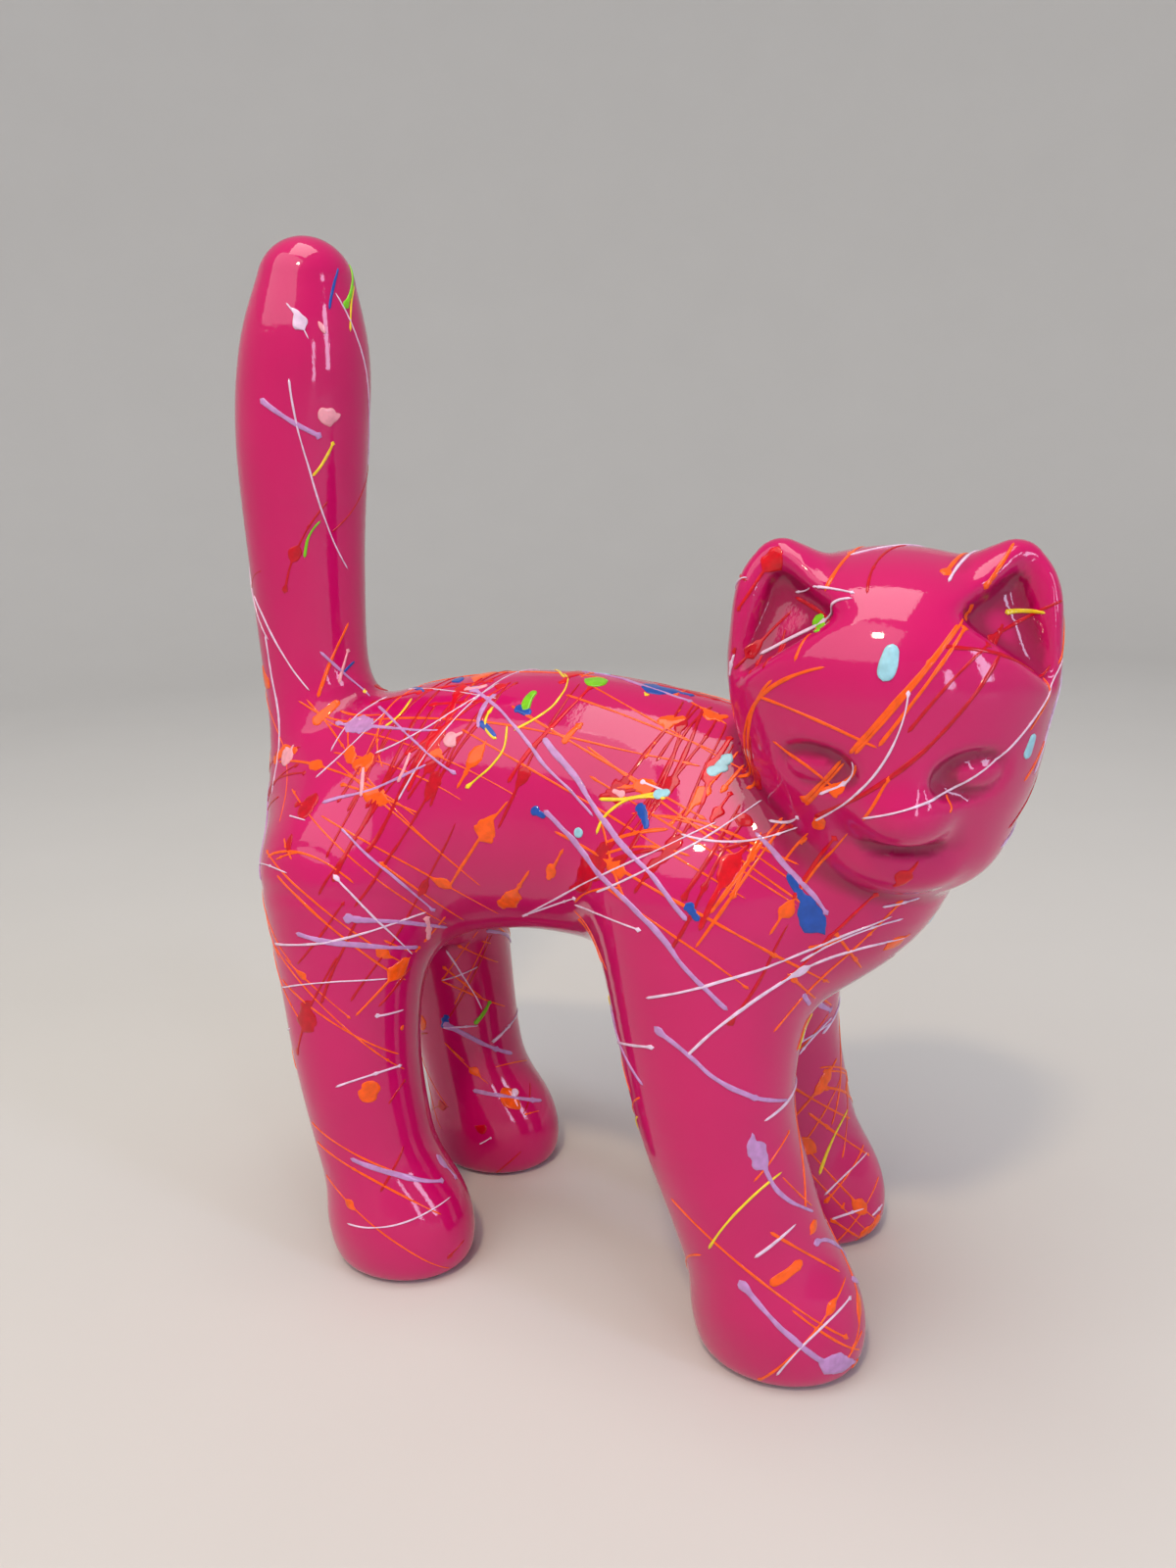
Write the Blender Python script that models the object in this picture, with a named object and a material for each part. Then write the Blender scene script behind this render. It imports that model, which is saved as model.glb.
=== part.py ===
"""A standing cat figurine with a raised tail and its head turned to its right, cast as one solid.

Metres, +Z up. The cat faces +X, and its left side is +Y. The origin is the middle of the figure's box, on the floor.
Every limb is a round form along a smooth line, and the forms blend into each other with a fillet at each joint.
A rough skin is laid around the blended form, and its points are then drawn onto it.
"""

import math

import bpy
import numpy as np
from mathutils import Matrix

MM = 0.001

# Trunk
TRUNK_LENGTH = 74 * MM
TRUNK_DEPTH = 52.5 * MM
TRUNK_WIDTH = 46 * MM
BACK_HEIGHT = 123 * MM

# Legs
STANCE_WIDTH = 42 * MM
HIND_LEG_THICKNESS = 25 * MM
FORE_LEG_THICKNESS = 28 * MM
RIGHT_FOREPAW_LEAD = 4 * MM
PAW_LENGTH = 32 * MM
PAW_WIDTH = 26 * MM
PAW_HEIGHT = 24 * MM

# Tail
TAIL_TOP_HEIGHT = 208 * MM
TAIL_THICKNESS = 27.5 * MM
TAIL_ROOT_THICKNESS = 23 * MM
TAIL_LEAN = 5 * MM

# Neck and head
NECK_THICKNESS = 42 * MM
HEAD_WIDTH = 51.5 * MM
HEAD_DEPTH = 46 * MM
HEAD_HEIGHT = 56 * MM
HEAD_CENTRE_HEIGHT = 118 * MM
HEAD_REACH = 28.5 * MM
HEAD_SIDE = 11 * MM
HEAD_TURN = math.radians(-77.5)
HEAD_NOD = math.radians(4)
HEAD_ROLL = math.radians(-2)

# Face and ears
JAW_LEAN = 0.12
JAW_WIDTH = 34.5 * MM
MUZZLE_WIDTH = 17.2 * MM
MUZZLE_SIDE = 0.8 * MM
MOUTH_WIDTH = 15 * MM
MOUTH_DEPTH = 0.9 * MM
MOUTH_SOFTNESS = 2 * MM
EYE_WIDTH = 10 * MM
EYE_SPACING = 24.8 * MM
EYE_SIDE = 0.5 * MM
EYE_TURN = math.radians(22)
EYE_TILT = math.radians(12)
EAR_TURN = math.radians(33)
EAR_TILT = math.radians(25)
EAR_FLARE = 0.6
EAR_DEPTH = 2.8 * MM
EAR_CORNERS = [(5.5 * MM, 11 * MM), (-9 * MM, 4 * MM), (9 * MM, -10 * MM)]
EAR_CORNER_FILLET = 6 * MM

# Fillets
LEG_FILLET = 14 * MM
NECK_FILLET = 16 * MM
TAIL_FILLET = 14 * MM
PAW_FILLET = 8 * MM
HEAD_FILLET = 7 * MM
SOLE_ROUNDING = 5 * MM
EAR_FILLET = 5 * MM
EAR_RIM_ROUNDING = 3.5 * MM
MUZZLE_FILLET = 4.5 * MM
CHIN_FILLET = 3.5 * MM

# Surface
SKIN_STEP = 1.8 * MM
FACES_KEPT = 9400
SOLE_SNAP = 0.15 * MM
LACQUER_PINK = (0.62, 0.012, 0.13)
LACQUER_ROUGHNESS = 0.12

HIP_X, SHOULDER_X = -0.62 * TRUNK_LENGTH, 0.38 * TRUNK_LENGTH
TRUNK_Z = BACK_HEIGHT - TRUNK_DEPTH / 2
BELLY_HEIGHT = BACK_HEIGHT - TRUNK_DEPTH
HEAD_CENTRE = np.array([SHOULDER_X + HEAD_REACH, -HEAD_SIDE, HEAD_CENTRE_HEIGHT])
PAW_RADII = np.array([PAW_LENGTH / 2, PAW_WIDTH / 2, 0.68 * PAW_HEIGHT])


def smooth_union(a, b, fillet):
    """The nearer of two forms, with a fillet where they meet."""
    near = np.maximum(fillet - np.abs(a - b), 0) / fillet
    return np.minimum(a, b) - near**3 * fillet / 6


def smooth_cut(a, b, fillet):
    """Form a with form b carved out of it, and the carving's edge rounded."""
    return -smooth_union(-a, b, fillet)


def line_through(stations, per_span=8):
    """Points on a smooth line through the stations; each is x, y, z and a radius."""
    s = np.array(stations, float)
    s = np.vstack([2 * s[0] - s[1], s, 2 * s[-1] - s[-2]])
    t = np.linspace(0, 1, per_span, endpoint=False)[:, None]
    spans = []
    for p0, p1, p2, p3 in zip(s, s[1:], s[2:], s[3:]):
        spans.append(0.5 * (2 * p1 + (p2 - p0) * t + (2 * p0 - 5 * p1 + 4 * p2 - p3) * t**2
                            + (3 * p1 - p0 - 3 * p2 + p3) * t**3))
    return np.vstack([*spans, s[-2:-1]])


def limb(points, line, width=1.0, reach=30 * MM):
    """Distance to a round form along a line. A width over 1 makes it wider than it is deep."""
    found = np.full(len(points), 1.0)
    near = ((points > line[:, :3].min(0) - reach) & (points < line[:, :3].max(0) + reach)).all(1)
    stretch = np.array([1, 1 / width, 1])
    p = points[near] * stretch
    best = np.full(len(p), 1.0)
    for a, b in zip(line, line[1:]):
        start, along = a[:3] * stretch, (b[:3] - a[:3]) * stretch
        t = np.clip((p - start) @ along / (along @ along), 0, 1)
        away = np.linalg.norm(p - start - t[:, None] * along, axis=1)
        best = np.minimum(best, away - a[3] - t * (b[3] - a[3]))
    found[near] = best
    return found


def ball(points, centre, radii):
    """Distance to an egg with those three radii."""
    p = (points - centre) / radii
    outer = np.linalg.norm(p, axis=1)
    inner = np.linalg.norm(p / radii, axis=1)
    return outer * (outer - 1) / np.maximum(inner, 1e-9)


def trunk_line():
    length, depth, r = TRUNK_LENGTH, TRUNK_DEPTH, TRUNK_DEPTH / 2
    return line_through([
        (HIP_X - 0.027 * length, 0, TRUNK_Z - 0.133 * depth, r),
        (HIP_X + 0.216 * length, 0, TRUNK_Z - 0.038 * depth, r),
        (HIP_X + 0.5 * length, 0, TRUNK_Z, r),
        (SHOULDER_X - 0.162 * length, 0, TRUNK_Z - 0.057 * depth, 0.98 * r),
        (SHOULDER_X, 0, TRUNK_Z - 0.133 * depth, 0.92 * r),
    ])


def neck_line():
    neck = NECK_THICKNESS
    x, y, z = HEAD_CENTRE
    return line_through([
        (SHOULDER_X + 0.048 * neck, 0, TRUNK_Z - 0.286 * neck, 0.525 * neck),
        (SHOULDER_X + 0.286 * neck, 0.09 * y, TRUNK_Z - 0.214 * neck, 0.52 * neck),
        (SHOULDER_X + 0.5 * neck, 0.36 * y, TRUNK_Z - 0.048 * neck, 0.465 * neck),
        (x - 0.048 * neck, y + 0.095 * neck, z - 0.143 * neck, 0.425 * neck),
    ])


def tail_line():
    root, tip = TAIL_ROOT_THICKNESS / 2, TAIL_THICKNESS / 2
    x, low = HIP_X - 1.38 * tip, TRUNK_Z - 0.076 * TRUNK_DEPTH
    rise = TAIL_TOP_HEIGHT - tip - low
    return line_through([
        (x + 0.22 * tip, 0, low, 1.15 * root),
        (x - 0.04 * tip, 0, low + 0.25 * rise, 0.97 * root),
        (x - 0.04 * tip, 0, low + 0.5 * rise, 1.03 * root),
        (x + 0.2 * TAIL_LEAN, 0, low + 0.74 * rise, 0.96 * tip),
        (x + 0.7 * TAIL_LEAN, 0, low + 0.9 * rise, 0.94 * tip),
        (x + 1.1 * TAIL_LEAN, 0, low + rise + 0.25 * tip, 0.7 * tip),
    ])


def hind_leg_line(side):
    thick, tall, y = HIND_LEG_THICKNESS, BELLY_HEIGHT, side * STANCE_WIDTH / 2
    return line_through([
        (HIP_X - 0.16 * thick, 0.7 * y, 1.163 * tall, 0.75 * thick),
        (HIP_X - 0.14 * thick, 0.9 * y, 0.879 * tall, 0.59 * thick),
        (HIP_X - 0.10 * thick, y, 0.652 * tall, 0.52 * thick),
        (HIP_X - 0.02 * thick, y, 0.411 * tall, 0.49 * thick),
        (HIP_X + 0.10 * thick, y, 0.213 * tall, 0.485 * thick),
    ])


def fore_leg_line(side):
    thick, tall, y = FORE_LEG_THICKNESS, BELLY_HEIGHT, side * STANCE_WIDTH / 2
    lead = RIGHT_FOREPAW_LEAD if side < 0 else 0
    return line_through([
        (SHOULDER_X - 0.107 * thick, 0.65 * y, 1.22 * tall, 0.725 * thick),
        (SHOULDER_X - 0.036 * thick, 0.85 * y, 0.922 * tall, 0.61 * thick),
        (SHOULDER_X + 0.3 * lead, y, 0.667 * tall, 0.515 * thick),
        (SHOULDER_X + 0.107 * thick + 0.7 * lead, y, 0.44 * tall, 0.485 * thick),
        (SHOULDER_X + 0.232 * thick + lead, y, 0.227 * tall, 0.475 * thick),
    ])


def paw_centres():
    """Each paw's middle: hind right, hind left, fore right, fore left."""
    half, z = STANCE_WIDTH / 2, 0.3 * PAW_HEIGHT
    hind, fore = HIP_X + 0.156 * PAW_LENGTH, SHOULDER_X + 0.281 * PAW_LENGTH
    return np.array([(hind, -half, z), (hind, half, z), (fore + RIGHT_FOREPAW_LEAD, -half, z), (fore, half, z)])


def head_axes():
    """The head's own left, forward and up directions, as rows."""
    turn = (Matrix.Rotation(HEAD_TURN, 3, "Z") @ Matrix.Rotation(HEAD_NOD, 3, "Y")
            @ Matrix.Rotation(HEAD_ROLL, 3, "X"))
    forward, left, up = np.array(turn).T
    return np.array([left, forward, up])


def facing(points, centre, turn, tilt):
    """The points seen from a centre on the head that looks outward by turn and upward by tilt."""
    view = Matrix.Rotation(-turn, 3, "Z") @ Matrix.Rotation(tilt, 3, "X")
    return (points - np.array(centre)) @ np.array(view)


def face_form(points):
    """Distance to the skull with its muzzle, chin and mouth. The jaw leans a little to the head's left."""
    w, d, h = HEAD_WIDTH / 2, HEAD_DEPTH / 2, HEAD_HEIGHT / 2
    drop = np.maximum(0.15 * h - points[:, 2], 0)
    leaning = points - np.outer(JAW_LEAN * drop**2 / (drop + 0.2 * h), (1, 0, 0))
    tall = np.where(points[:, 2:] > 0.28 * h, 0.72 * h, 1.30 * h)
    skull = ball(leaning, (0, 0, 0.28 * h), np.hstack([np.full_like(tall, w), np.full_like(tall, d), tall]))
    crown = ball(points, (0, -0.1 * d, 0.45 * h), np.array([0.95 * w, 0.7 * d, 0.55 * h]))
    jaw = ball(leaning, (0, 0.06 * d, -0.60 * h), np.array([JAW_WIDTH / 2, 0.62 * d, 0.42 * h]))
    form = smooth_union(smooth_union(skull, crown, 0.12 * w), jaw, 0.24 * w)
    bridge = limb((leaning - (MUZZLE_SIDE, 0, 0)) * (0.7, 1, 1), line_through([
        (0, 0.80 * d, 0.14 * h, 0.132 * w),
        (0, 0.83 * d, -0.08 * h, 0.163 * w),
        (0, 0.80 * d, -0.26 * h, 0.21 * w),
    ]))
    muzzle = ball(leaning, (MUZZLE_SIDE, 0.70 * d, -0.32 * h), np.array([MUZZLE_WIDTH / 2, 0.4 * d, 0.23 * h]))
    form = smooth_union(form, smooth_union(bridge, muzzle, 0.12 * w), MUZZLE_FILLET)
    chin = ball(leaning, (0, 0.52 * d, -0.66 * h), np.array([0.40 * w, 0.28 * d, 0.22 * h]))
    form = smooth_union(form, chin, CHIN_FILLET)
    taper = np.maximum(1 - ((leaning[:, 0] - MUZZLE_SIDE) / (MOUTH_WIDTH / 2)) ** 2, 0)
    crease = (points[:, 2] + 0.53 * h + 0.6 * MM * taper) / MOUTH_SOFTNESS
    groove = MOUTH_DEPTH * taper * np.exp(-(crease**2))
    return form + np.where(points[:, 1] > 0.4 * d, groove, 0)


def triangle(across, up, corners, fillet):
    """Distance in a plane to a triangle with rounded corners, given counter-clockwise."""
    away = None
    for (x0, z0), (x1, z1) in zip(corners, corners[1:] + corners[:1]):
        run, rise = x1 - x0, z1 - z0
        edge = ((across - x0) * rise - (up - z0) * run) / math.hypot(run, rise)
        away = edge if away is None else -smooth_union(-away, -edge, fillet)
    return away


def head_form(points):
    """Distance to the head, from points in the head's own left, forward and up directions."""
    w, d, h = HEAD_WIDTH / 2, HEAD_DEPTH / 2, HEAD_HEIGHT / 2
    form = face_form(points)
    for side in (-1, 1):
        form = smooth_union(form, limb(points, line_through([
            (side * 0.54 * w, 0.10 * d, 0.42 * h, 0.45 * w),
            (side * 0.64 * w, 0.10 * d, 0.71 * h, 0.342 * w),
            (side * 0.69 * w, 0.10 * d, 0.90 * h, 0.19 * w),
        ])), EAR_FILLET)
    for side in (-1, 1):
        dish = facing(points, (side * 0.64 * w, 0.47 * d, 0.59 * h), side * EAR_TURN, EAR_TILT)
        inner = triangle(side * dish[:, 0], dish[:, 2], EAR_CORNERS, EAR_CORNER_FILLET)
        wall = np.maximum(inner + EAR_DEPTH, 0)
        hollow = np.hypot(wall, np.minimum(dish[:, 1], 0)) - EAR_DEPTH - EAR_FLARE * np.maximum(dish[:, 1], 0)
        form = smooth_cut(form, hollow, EAR_RIM_ROUNDING)
        look = facing(points, (EYE_SIDE + side * EYE_SPACING / 2, 0.835 * d, -0.10 * h), side * EYE_TURN, -EYE_TILT)
        look /= EYE_WIDTH
        socket = EYE_WIDTH * ball(look, (0, 0.27, 0.02), np.array([0.90, 0.42, 0.52]))
        form = smooth_cut(form, socket, 0.16 * EYE_WIDTH)
        eye = EYE_WIDTH * ball(look, (0, -0.40, -0.10), np.array([0.56, 0.38, 0.40]))
        form = smooth_union(form, eye, 0.12 * EYE_WIDTH)
    return form


def figure(points):
    """Distance to the whole cat, all forms blended and cut off level at the floor."""
    form = limb(points, trunk_line(), TRUNK_WIDTH / TRUNK_DEPTH)
    for side in (-1, 1):
        form = smooth_union(form, limb(points, hind_leg_line(side)), LEG_FILLET)
        form = smooth_union(form, limb(points, fore_leg_line(side)), LEG_FILLET)
    form = smooth_union(form, limb(points, neck_line()), NECK_FILLET)
    form = smooth_union(form, limb(points, tail_line()), TAIL_FILLET)
    for centre in paw_centres():
        form = smooth_union(form, ball(points, centre, PAW_RADII), PAW_FILLET)
    form = smooth_union(form, head_form((points - HEAD_CENTRE) @ head_axes().T), HEAD_FILLET)
    return smooth_cut(form, points[:, 2], SOLE_ROUNDING)


def figure_box():
    """The corners of a box with room for every form."""
    lines = [trunk_line(), neck_line(), tail_line()]
    for side in (-1, 1):
        lines += [hind_leg_line(side), fore_leg_line(side)]
    eggs = [(*centre, PAW_RADII.max()) for centre in paw_centres()]
    eggs.append((*HEAD_CENTRE, 0.65 * max(HEAD_WIDTH, HEAD_DEPTH, HEAD_HEIGHT)))
    rounds = np.vstack([*lines, eggs])
    room = 3 * SKIN_STEP
    low, high = (rounds[:, :3] - rounds[:, 3:]).min(0) - room, (rounds[:, :3] + rounds[:, 3:]).max(0) + room
    return np.array([low[0], low[1], -room]), high


def skin_squares(form, low, high, step):
    """Points and squares of a rough skin: one point in each small cube that the form's surface crosses."""
    counts = ((high - low) / step).astype(int) + 1
    grid = np.indices(counts).reshape(3, -1).T * step + low
    away = form(grid).reshape(counts)
    x, y, z = counts - 1
    corners = sum((away[i : i + x, j : j + y, k : k + z] < 0).astype(int) for i, j, k in np.ndindex(2, 2, 2))
    crossed = (corners > 0) & (corners < 8)
    number = np.full(crossed.shape, -1)
    number[crossed] = np.arange(crossed.sum())
    total, met, squares = np.zeros((crossed.sum(), 3)), np.zeros((crossed.sum(), 1)), []
    for axis in range(3):
        inner, cube = np.moveaxis(away, axis, 0)[:, 1:-1, 1:-1], np.moveaxis(number, axis, 0)
        p, q, r = np.nonzero((inner[1:] < 0) != (inner[:-1] < 0))
        first, second = inner[p, q, r], inner[p + 1, q, r]
        place = np.insert(np.stack([q + 1.0, r + 1.0], 1), axis, p + first / (first - second), axis=1)
        ring = np.stack([cube[p, q, r], cube[p, q + 1, r], cube[p, q + 1, r + 1], cube[p, q, r + 1]], 1)
        np.add.at(total, ring, place[:, None])
        np.add.at(met, ring, 1)
        backward = (first < 0) == (axis == 1)
        ring[backward] = ring[backward, ::-1]
        squares.append(ring)
    return total / met * step + low, np.vstack(squares)


def freeze(obj):
    """Makes the modified mesh the object's own."""
    graph = bpy.context.evaluated_depsgraph_get()
    mesh = bpy.data.meshes.new_from_object(obj.evaluated_get(graph))
    obj.modifiers.clear()
    obj.data = mesh


def points_of(mesh):
    points = np.empty(len(mesh.vertices) * 3)
    mesh.vertices.foreach_get("co", points)
    return points.reshape(-1, 3)


def set_points(mesh, points):
    mesh.vertices.foreach_set("co", points.ravel())
    mesh.update()


def draw_onto(mesh, form, rounds=5):
    """Evens out the mesh's points and moves them onto the form's surface; the last two rounds only move them."""
    points = points_of(mesh)
    edges = np.empty(len(mesh.edges) * 2, int)
    mesh.edges.foreach_get("vertices", edges)
    edges = edges.reshape(-1, 2)
    count = np.bincount(edges.ravel(), minlength=len(points))[:, None]
    step, longest = 0.01 * MM, 3 * MM
    for turn in range(rounds):
        if turn < rounds - 2:
            total = np.zeros_like(points)
            np.add.at(total, edges[:, 0], points[edges[:, 1]])
            np.add.at(total, edges[:, 1], points[edges[:, 0]])
            points = 0.5 * points + 0.5 * total / count
        away = form(points)
        slope = np.stack([form(points + step * axis) - away for axis in np.eye(3)], 1) / step
        move = -(away / np.maximum((slope**2).sum(1), 0.2))[:, None] * slope
        length = np.linalg.norm(move, axis=1)[:, None]
        points = points + move * np.minimum(1, longest / np.maximum(length, 1e-9))
    set_points(mesh, points)


def lacquer():
    material = bpy.data.materials.new("pink_lacquer")
    material.use_nodes = True
    shader = material.node_tree.nodes["Principled BSDF"]
    shader.inputs["Base Color"].default_value = (*LACQUER_PINK, 1)
    shader.inputs["Roughness"].default_value = LACQUER_ROUGHNESS
    shader.inputs["Metallic"].default_value = 0
    return material


def main():
    for obj in list(bpy.data.objects):
        bpy.data.objects.remove(obj)
    points, squares = skin_squares(figure, *figure_box(), SKIN_STEP)
    mesh = bpy.data.meshes.new("cat")
    mesh.from_pydata(points.tolist(), [], squares.tolist())
    cat = bpy.data.objects.new("cat", mesh)
    bpy.context.scene.collection.objects.link(cat)
    even = cat.modifiers.new("even", "REMESH")
    even.mode = "VOXEL"
    even.voxel_size = SKIN_STEP
    freeze(cat)
    draw_onto(cat.data, figure)
    thin = cat.modifiers.new("thin", "DECIMATE")
    thin.ratio = min(1, FACES_KEPT / (2 * len(cat.data.polygons)))
    freeze(cat)

    points = points_of(cat.data)
    points[points[:, 2] < SOLE_SNAP, 2] = 0
    points[:, :2] -= (points[:, :2].min(0) + points[:, :2].max(0)) / 2
    set_points(cat.data, points)
    cat.data.materials.clear()
    cat.data.materials.append(lacquer())
    cat.data.shade_smooth()


main()
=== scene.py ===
"""The looks of a lacquered cat figurine: its glossy skin, the paint flicked over it, and a plain studio.

The file is laid out as an add-on. Run as a script, it registers its tools and uses them in order on the
packed cat. The body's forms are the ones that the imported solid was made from, in the same sizes, and the
face is carved finer.
"""

import math
from collections import namedtuple

import bpy
import numpy as np
from bpy.props import FloatProperty, FloatVectorProperty, IntProperty, PointerProperty, StringProperty
from mathutils import Matrix, Vector
from mathutils.bvhtree import BVHTree


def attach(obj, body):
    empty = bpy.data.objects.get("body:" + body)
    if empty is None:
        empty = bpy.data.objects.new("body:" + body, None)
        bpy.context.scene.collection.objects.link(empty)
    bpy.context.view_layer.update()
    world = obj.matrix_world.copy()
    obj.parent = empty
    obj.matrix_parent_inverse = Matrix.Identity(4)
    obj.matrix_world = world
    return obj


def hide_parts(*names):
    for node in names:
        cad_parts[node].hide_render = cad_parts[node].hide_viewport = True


bl_info = {
    "name": "Lacquered cat figurine",
    "version": (1, 0, 0),
    "blender": (4, 5, 0),
    "location": "3D View > Sidebar > Figurine",
    "description": "Builds the figurine's glossy skin, the paint flicked over it and a plain studio",
    "category": "Add Mesh",
}

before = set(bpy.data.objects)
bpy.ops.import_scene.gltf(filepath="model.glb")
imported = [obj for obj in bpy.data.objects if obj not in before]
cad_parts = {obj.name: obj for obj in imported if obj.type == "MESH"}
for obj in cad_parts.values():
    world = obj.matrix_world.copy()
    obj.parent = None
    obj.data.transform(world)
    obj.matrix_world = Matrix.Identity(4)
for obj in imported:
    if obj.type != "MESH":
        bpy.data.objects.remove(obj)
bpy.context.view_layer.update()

MM = 0.001

# Trunk
TRUNK_LENGTH = 74 * MM
TRUNK_DEPTH = 52.5 * MM
TRUNK_WIDTH = 46 * MM
BACK_HEIGHT = 123 * MM

# Legs
STANCE_WIDTH = 42 * MM
HIND_LEG_THICKNESS = 25 * MM
FORE_LEG_THICKNESS = 28 * MM
RIGHT_FOREPAW_LEAD = 4 * MM
PAW_LENGTH = 32 * MM
PAW_WIDTH = 26 * MM
PAW_HEIGHT = 24 * MM

# Tail
TAIL_TOP_HEIGHT = 208 * MM
TAIL_THICKNESS = 27.5 * MM
TAIL_ROOT_THICKNESS = 23 * MM
TAIL_LEAN = 5 * MM

# Neck and head
NECK_THICKNESS = 42 * MM
HEAD_WIDTH = 51.5 * MM
HEAD_DEPTH = 46 * MM
HEAD_HEIGHT = 56 * MM
HEAD_CENTRE_HEIGHT = 118 * MM
HEAD_REACH = 28.5 * MM
HEAD_SIDE = 11 * MM
HEAD_TURN = math.radians(-77.5)
HEAD_NOD = math.radians(4)
HEAD_ROLL = math.radians(-2)

# Face and ears
JAW_LEAN = 0.12
JAW_WIDTH = 34.5 * MM
MOUTH_SOFTNESS = 1.2 * MM
MUZZLE_WIDTH = 15.5 * MM
MUZZLE_SIDE = 0.8 * MM
EYE_WIDTH = 10 * MM
EYE_SPACING = 24.8 * MM
EYE_SIDE = 0.5 * MM
EYE_TURN = math.radians(22)
EYE_TILT = math.radians(12)
EAR_TURN = math.radians(33)
EAR_TILT = math.radians(25)
EAR_FLARE = 0.6
EAR_DEPTH = 2.8 * MM
EAR_CORNERS = [(5.5 * MM, 11 * MM), (-9 * MM, 4 * MM), (9 * MM, -10 * MM)]
EAR_CORNER_FILLET = 6 * MM

# Fillets
LEG_FILLET = 14 * MM
NECK_FILLET = 16 * MM
TAIL_FILLET = 14 * MM
PAW_FILLET = 8 * MM
HEAD_FILLET = 3 * MM
SOLE_ROUNDING = 5 * MM
EAR_FILLET = 5 * MM
EAR_RIM_ROUNDING = 3.5 * MM
MUZZLE_FILLET = 4.5 * MM
CHIN_FILLET = 3.5 * MM

HIP_X, SHOULDER_X = -0.62 * TRUNK_LENGTH, 0.38 * TRUNK_LENGTH
TRUNK_Z = BACK_HEIGHT - TRUNK_DEPTH / 2
BELLY_HEIGHT = BACK_HEIGHT - TRUNK_DEPTH
HEAD_CENTRE = np.array([SHOULDER_X + HEAD_REACH, -HEAD_SIDE, HEAD_CENTRE_HEIGHT])
HEAD_ROOM = 46 * MM
PAW_RADII = np.array([PAW_LENGTH / 2, PAW_WIDTH / 2, 0.68 * PAW_HEIGHT])
SOLE_SNAP = 0.15 * MM

# The photograph's camera
CAMERA_PLACE = (87.16 * MM, -206.14 * MM, 156.7 * MM)
CAMERA_HEADING = math.radians(24.3)
CAMERA_DIP = math.radians(13.9)
CAMERA_ROLL = math.radians(-2.3)
SENSOR = 36.0
LENS = 27.05

# Studio: the floor's flat part, the curve up into the wall, and the wall's top
COVE_RADIUS = 0.9
COVE_CURVE = 0.5
COVE_HEIGHT = 0.85
STUDIO_MIDDLE = (0, 0, 0.09)
WORLD_COLOUR = "#F0F2F8"
WORLD_STRENGTH = 0.32

# Lamps: name, place, size, power in watts and colour
LAMPS = (
    ("key", (-0.45, -1.15, 1.25), (1.9, 1.5), 15.5, "#FFFCF9"),
    ("overhead", (0.0, -0.1, 1.3), (0.7, 0.7), 6, "#FFFAF4"),
    ("window", (0.95, -0.25, 0.42), (0.14, 0.5), 2.2, "#D2DEFF"),
    ("low_window", (0.9, -0.75, 0.3), (0.10, 0.34), 1.0, "#D2DEFF"),
    ("glint", (0.07, -0.42, 0.66), (0.07, 0.05), 1.6, "#FFE6C0"),
)

# Paint: the step along a thread and the points around it, how deep its edges are sunk, and how far each
# colour lies over the one before
PAINT_STEP = 0.6 * MM
PAINT_RING = 8
PAINT_SINK = 0.08 * MM
PAINT_LAYER = 0.012 * MM

# Throws: from how far, the least slope at which paint lands, and how far from its aim it still lands
THROW = 0.5
GRAZING = 0.5
FALL = 50 * MM


def linear(code):
    """A sRGB hex colour as the linear numbers that Blender keeps."""
    shares = [int(code[i : i + 2], 16) / 255 for i in (1, 3, 5)]
    return tuple(s / 12.92 if s <= 0.04045 else ((s + 0.055) / 1.055) ** 2.4 for s in shares)


# The paints, in the order that they are thrown
PAINTS = {
    "dark_red": "#C2001E",
    "orange": "#FB5D0A",
    "crimson": "#D6041C",
    "royal_blue": "#1D4FAE",
    "yellow": "#EFD22A",
    "lilac": "#C08CC8",
    "lime": "#7CCB1A",
    "pale_pink": "#F3A4B4",
    "white": "#E6CBE8",
    "light_blue": "#9AD0E2",
}


class FigurineSkin(bpy.types.PropertyGroup):
    """Sizes and finish of the lacquered skin, with the colour of the painted shade in its hollows."""

    fineness: FloatProperty(
        name="Fineness", description="Size of the skin's small squares", default=0.95 * MM,
        min=0.5 * MM, unit="LENGTH", precision=5)
    colour: FloatVectorProperty(
        name="Lacquer", description="Colour of the lacquer", default=linear("#C80062"),
        subtype="COLOR", min=0, max=1)
    # Painted shade: the colour that the lacquer is darkened toward in hollows, also the darker tone of its
    # random mottle
    shade_and_mottle_colour: FloatVectorProperty(
        name="Painted shade in hollows", description="Colour of the painted shade in hollows, also the darker tone of the mottle",
        default=linear("#960044"), subtype="COLOR", min=0, max=1)
    mouth_width: FloatProperty(
        name="Mouth width", description="Length of the crease under the muzzle", default=13.5 * MM,
        unit="LENGTH", precision=4)
    mouth_depth: FloatProperty(
        name="Mouth depth", description="Depth of the crease under the muzzle", default=1.4 * MM,
        unit="LENGTH", precision=5)


class FigurinePaint(bpy.types.PropertyGroup):
    """How much paint is flicked over the skin, and how thick it lies."""

    seed: IntProperty(name="Seed", description="Another number gives another throw", default=5)
    amount: FloatProperty(
        name="Amount", description="Share of the flicks that are thrown", default=1.0, min=0)
    thickness: FloatProperty(
        name="Thickness", description="Most that the paint stands proud of the skin", default=0.16 * MM,
        unit="LENGTH", precision=5)


class FigurineStudio(bpy.types.PropertyGroup):
    """The floor and the lights."""

    floor: FloatVectorProperty(
        name="Floor", description="Colour of the floor", default=linear("#CECDCB"),
        subtype="COLOR", min=0, max=1)
    strength: FloatProperty(
        name="Light", description="Strength of all lights together", default=1.0, min=0)


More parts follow.
